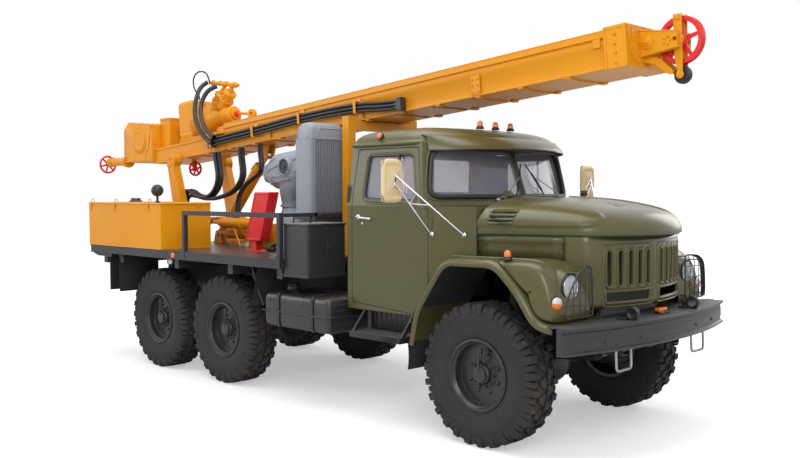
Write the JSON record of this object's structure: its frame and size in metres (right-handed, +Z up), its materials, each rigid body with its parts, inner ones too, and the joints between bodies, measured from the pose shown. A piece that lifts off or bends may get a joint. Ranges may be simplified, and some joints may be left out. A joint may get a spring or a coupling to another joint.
{
  "type": "truck mounted drilling rig",
  "caption": "Short-nosed all-wheel-drive truck with a rotary drilling mast laid forward over the cab, lift cylinder, platform with tank, compressor and rear jacks.",
  "frame": {"origin": "ground level under the middle of the overall length and width", "axes": "+X forward, +Y left, +Z up, metres"},
  "size_m": [8.54, 2.92, 3.4286],
  "materials": {
    "yellow_paint": "satin",
    "olive_paint": "satin",
    "dark_paint": "satin",
    "red_paint": "gloss",
    "grey_paint": "satin",
    "cream_paint": "satin",
    "tyre": "matt",
    "hose": "matt",
    "chrome": "polished",
    "glass": "clear",
    "seat": "matt",
    "plastic": "matt",
    "lamp": "gloss"
  },
  "bodies": {
    "rig": {"axles": "dark_paint", "belt_guard": "red_paint", "bench_seat": "seat", "cab_cowl": "olive_paint", "cab_floor": "olive_paint", "cab_glass": "glass", "cab_rear_wall": "olive_paint", "cab_roof": "olive_paint", "cabinets": "dark_paint", "chassis_frame": "dark_paint", "compressor": "grey_paint", "control_console": "yellow_paint", "dashboard": "plastic", "deck": "dark_paint", "deck_hoses": "hose", "drive_line": "dark_paint", "fenders": "olive_paint", "front_bumper": "dark_paint", "fuel_tanks": "dark_paint", "grille_panel": "olive_paint", "lamps": "lamp", "mast_stand": "yellow_paint", "mirrors": "cream_paint", "mud_pump": "yellow_paint", "oil_tank": "yellow_paint", "subframe": "dark_paint"},
    "mast": {"mast_rails": "yellow_paint", "mast_web": "yellow_paint", "mast_head": "yellow_paint", "foot_gearbox": "yellow_paint", "hand_wheels": "red_paint", "mast_hoses": "hose"},
    "rotary_head": {"rotary_head": "yellow_paint", "head_hoses": "hose"},
    "spindle": {"spindle": "red_paint"},
    "crown_sheave": {"crown_sheave": "red_paint"},
    "crown_roller": {"crown_roller": "plastic"},
    "lift_barrel": {"lift_barrel": "yellow_paint"},
    "lift_rod": {"lift_rod": "chrome"},
    "hood": {"hood": "olive_paint"},
    "door_right": {"door_right": "olive_paint", "door_glass_right": "glass"},
    "door_left": {"door_left": "olive_paint", "door_glass_left": "glass"},
    "jack_right": {"jack_leg_right": "chrome"},
    "jack_left": {"jack_leg_left": "chrome"},
    "knuckle_right": {"knuckle_right": "dark_paint"},
    "knuckle_left": {"knuckle_left": "dark_paint"},
    "wheel_front_right": {"tyre_front_right": "tyre", "rim_front_right": "dark_paint"},
    "wheel_front_left": {"tyre_front_left": "tyre", "rim_front_left": "dark_paint"},
    "wheel_mid_right": {"tyre_mid_right": "tyre", "rim_mid_right": "dark_paint"},
    "wheel_mid_left": {"tyre_mid_left": "tyre", "rim_mid_left": "dark_paint"},
    "wheel_rear_right": {"tyre_rear_right": "tyre", "rim_rear_right": "dark_paint"},
    "wheel_rear_left": {"tyre_rear_left": "tyre", "rim_rear_left": "dark_paint"}
  },
  "joints": [
    {"name": "mast_tilt", "type": "hinge", "parent": "rig", "child": "mast", "pos_m": [-2.35, 0, 2.33], "axis": [0, -1, 0], "range_deg": [0, 85.2]},
    {"name": "lift_swing", "type": "hinge", "parent": "rig", "child": "lift_barrel", "pos_m": [-1.9, 0, 1.44], "axis": [0, -1, 0], "range_deg": [0, 54.3]},
    {"name": "lift_extend", "type": "slide", "parent": "lift_barrel", "child": "lift_rod", "axis": [0.7033, 0, 0.7109], "range_m": [0, 0.983]},
    {"name": "head_feed", "type": "slide", "parent": "mast", "child": "rotary_head", "axis": [0.9965, 0, 0.0837], "range_m": [0, 5.1]},
    {"name": "spindle_spin", "type": "hinge", "parent": "rotary_head", "child": "spindle", "pos_m": [-2.71933, 0, 2.77064], "axis": [0.9965, 0, 0.0837], "continuous": true},
    {"name": "crown_sheave_spin", "type": "hinge", "parent": "mast", "child": "crown_sheave", "pos_m": [4.09, 0, 3.05], "axis": [0, 1, 0], "continuous": true},
    {"name": "crown_roller_spin", "type": "hinge", "parent": "mast", "child": "crown_roller", "pos_m": [4.107, 0, 2.793], "axis": [0, 1, 0], "continuous": true},
    {"name": "steer_right", "type": "hinge", "parent": "rig", "child": "knuckle_right", "pos_m": [3, -0.69, 0.55], "axis": [0, 0, 1], "range_deg": [-28, 28]},
    {"name": "steer_left", "type": "hinge", "parent": "rig", "child": "knuckle_left", "pos_m": [3, 0.69, 0.55], "axis": [0, 0, 1], "range_deg": [-28, 28]},
    {"name": "door_right_swing", "type": "hinge", "parent": "rig", "child": "door_right", "pos_m": [2.45, -1, 1.6], "axis": [0, 0, 1], "range_deg": [0, 60]},
    {"name": "door_left_swing", "type": "hinge", "parent": "rig", "child": "door_left", "pos_m": [2.45, 1, 1.6], "axis": [0, 0, -1], "range_deg": [0, 60]},
    {"name": "hood_lift", "type": "hinge", "parent": "rig", "child": "hood", "pos_m": [2.908, 0, 1.925], "axis": [0, -1, 0], "range_deg": [0, 50]},
    {"name": "jack_right_lower", "type": "slide", "parent": "rig", "child": "jack_right", "axis": [0, 0, -1], "range_m": [0, 0.48]},
    {"name": "jack_left_lower", "type": "slide", "parent": "rig", "child": "jack_left", "axis": [0, 0, -1], "range_m": [0, 0.48]},
    {"name": "wheel_front_right_spin", "type": "hinge", "parent": "knuckle_right", "child": "wheel_front_right", "pos_m": [3, -0.91, 0.55], "axis": [0, 1, 0], "continuous": true},
    {"name": "wheel_front_left_spin", "type": "hinge", "parent": "knuckle_left", "child": "wheel_front_left", "pos_m": [3, 0.91, 0.55], "axis": [0, 1, 0], "continuous": true},
    {"name": "wheel_mid_right_spin", "type": "hinge", "parent": "rig", "child": "wheel_mid_right", "pos_m": [-0.35, -0.91, 0.55], "axis": [0, 1, 0], "continuous": true},
    {"name": "wheel_mid_left_spin", "type": "hinge", "parent": "rig", "child": "wheel_mid_left", "pos_m": [-0.35, 0.91, 0.55], "axis": [0, 1, 0], "continuous": true},
    {"name": "wheel_rear_right_spin", "type": "hinge", "parent": "rig", "child": "wheel_rear_right", "pos_m": [-1.6, -0.91, 0.55], "axis": [0, 1, 0], "continuous": true},
    {"name": "wheel_rear_left_spin", "type": "hinge", "parent": "rig", "child": "wheel_rear_left", "pos_m": [-1.6, 0.91, 0.55], "axis": [0, 1, 0], "continuous": true}
  ],
  "couplings": [
    {"joint": "lift_swing", "follows": "mast_tilt", "ratio": 0.6352},
    {"joint": "lift_extend", "follows": "mast_tilt", "m_per_rad": 0.6599},
    {"joint": "steer_left", "follows": "steer_right", "ratio": 1}
  ]
}
